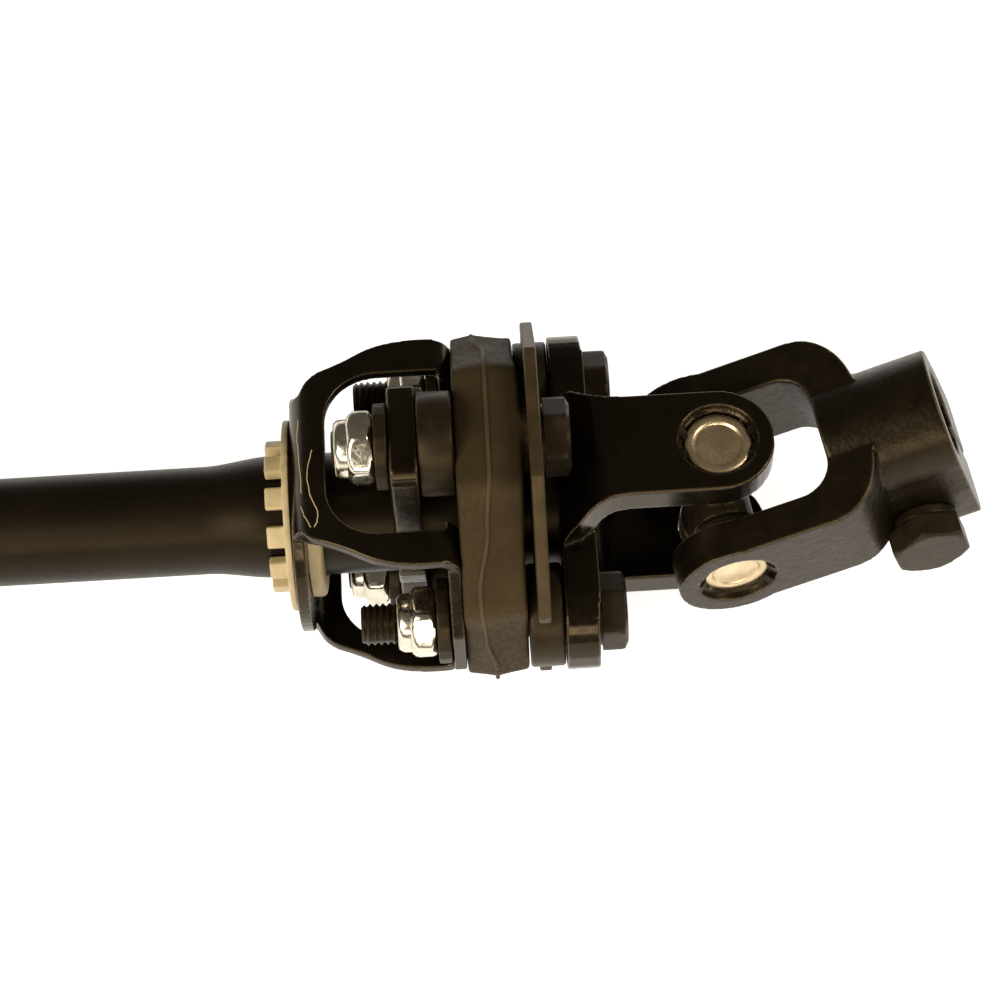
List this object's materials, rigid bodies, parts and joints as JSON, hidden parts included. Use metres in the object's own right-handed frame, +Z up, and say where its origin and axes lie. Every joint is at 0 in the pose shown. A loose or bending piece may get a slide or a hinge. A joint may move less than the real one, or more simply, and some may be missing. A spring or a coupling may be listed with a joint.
{
  "type": "intermediate steering shaft",
  "caption": "Steering shaft with a telescoping tube, a caged rubber disc coupling and universal joints that end in split clamp yokes.",
  "frame": {"origin": "middle of the lowest flat of the stop plate, on which the coupling stands; the shaft's axis runs 42.2 mm above it", "axes": "+X along the shaft from the telescoping end towards the coupling and its joint, +Z up, away from the floor"},
  "size_m": [0.465, 0.0856, 0.0844],
  "materials": {
    "black_paint": "gloss",
    "satin_black": "satin",
    "cast_black": "semi-gloss over a cast skin",
    "rubber": "matt moulded",
    "black_steel": "black oxide",
    "zinc": "bright zinc plate",
    "bright_steel": "ground",
    "cream_plastic": "moulded",
    "nylon": "moulded",
    "seal_rubber": "matt"
  },
  "bodies": {
    "tube_body": {"flex_disc": "rubber", "shaft_tube": "satin_black", "slip_liner": "nylon", "stop_plate": "black_paint", "tube_bolt_front": "black_steel", "tube_bolt_rear": "black_steel", "tube_flange": "black_paint", "tube_lock_nut_front": "zinc", "tube_lock_nut_rear": "zinc", "tube_nylon_ring_front": "nylon", "tube_nylon_ring_rear": "nylon", "tube_spacer_front": "black_steel", "tube_spacer_rear": "black_steel", "tube_washer_front": "black_steel", "tube_washer_rear": "black_steel"},
    "coupling_body": {"centring_bushing": "cream_plastic", "coupling_cage": "black_paint", "coupling_yoke": "black_paint", "near_cup_front": "bright_steel", "near_cup_rear": "bright_steel", "yoke_bolt_lower": "black_steel", "yoke_bolt_upper": "black_steel", "yoke_lock_nut_lower": "zinc", "yoke_lock_nut_upper": "zinc", "yoke_nylon_ring_lower": "nylon", "yoke_nylon_ring_upper": "nylon", "yoke_spacer_lower": "black_steel", "yoke_spacer_upper": "black_steel", "yoke_washer_lower": "black_steel", "yoke_washer_upper": "black_steel"},
    "near_cross_body": {"near_cross": "black_steel", "near_seal_front": "seal_rubber", "near_seal_lower": "seal_rubber", "near_seal_rear": "seal_rubber", "near_seal_upper": "seal_rubber"},
    "near_clamp_body": {"near_clamp_yoke": "cast_black", "near_cup_lower": "bright_steel", "near_cup_upper": "bright_steel", "near_lock_washer": "black_steel", "near_pinch_bolt": "black_steel"},
    "slip_body": {"far_cup_front": "bright_steel", "far_cup_rear": "bright_steel", "slip_shaft": "bright_steel", "slip_yoke": "cast_black"},
    "far_cross_body": {"far_cross": "black_steel", "far_seal_front": "seal_rubber", "far_seal_lower": "seal_rubber", "far_seal_rear": "seal_rubber", "far_seal_upper": "seal_rubber"},
    "far_clamp_body": {"far_clamp_yoke": "cast_black", "far_cup_lower": "bright_steel", "far_cup_upper": "bright_steel", "far_lock_washer": "black_steel", "far_pinch_bolt": "black_steel"}
  },
  "joints": [
    {"name": "coupling_twist", "type": "hinge", "parent": "tube_body", "child": "coupling_body", "pos_m": [-0.011, 0, 0.0422], "axis": [1, 0, 0], "range_deg": [-3.5, 3.5], "stiffness_Nm_per_rad": 40, "deforming": ["flex_disc"]},
    {"name": "near_joint_first", "type": "hinge", "parent": "coupling_body", "child": "near_cross_body", "pos_m": [0.04225, 0, 0.0422], "axis": [0, 0, 1], "range_deg": [-33.3, 16.7]},
    {"name": "near_joint_second", "type": "hinge", "parent": "near_cross_body", "child": "near_clamp_body", "pos_m": [0.04225, 0, 0.0422], "axis": [-0.1444, 0.9895, 0], "range_deg": [-7.3, 42.7]},
    {"name": "telescope", "type": "slide", "parent": "tube_body", "child": "slip_body", "axis": [1, 0, 0], "range_m": [-0.035, 0.04]},
    {"name": "far_joint_first", "type": "hinge", "parent": "slip_body", "child": "far_cross_body", "pos_m": [-0.2974, 0, 0.0422], "axis": [0, 0, 1], "range_deg": [-19, 31]},
    {"name": "far_joint_second", "type": "hinge", "parent": "far_cross_body", "child": "far_clamp_body", "pos_m": [-0.2974, 0, 0.0422], "axis": [0.1045, 0.9945, 0], "range_deg": [-39, 11]}
  ]
}
